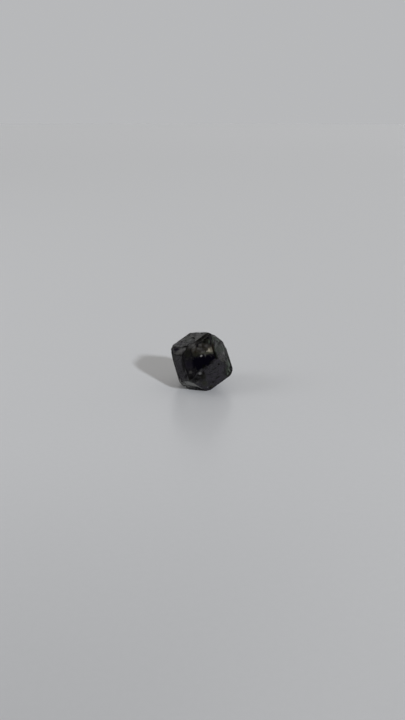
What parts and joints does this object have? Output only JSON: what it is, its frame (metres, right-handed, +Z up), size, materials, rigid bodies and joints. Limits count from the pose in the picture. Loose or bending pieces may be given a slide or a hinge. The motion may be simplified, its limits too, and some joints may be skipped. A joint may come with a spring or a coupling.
{
  "type": "rough garnet crystal",
  "caption": "Rough dark garnet crystal with flat rhombic faces and narrow edge faces, standing on a flat broken foot.",
  "frame": {"origin": "centre of the outline seen from above, at the level of the flat foot that the crystal rests on", "axes": "+Z up, -Z out of the flat foot; -Y towards the viewer who sees the dark front face between the top, right and lower right faces; +X to that viewer's right"},
  "size_m": [0.0152, 0.0164, 0.0147],
  "materials": {
    "garnet_stone": "Nearly black glassy crystal faces that let a brown light through at thin places, with fine pits, growth steps and worn edges"
  },
  "bodies": {
    "root": {"garnet_crystal": "garnet_stone"}
  },
  "joints": []
}
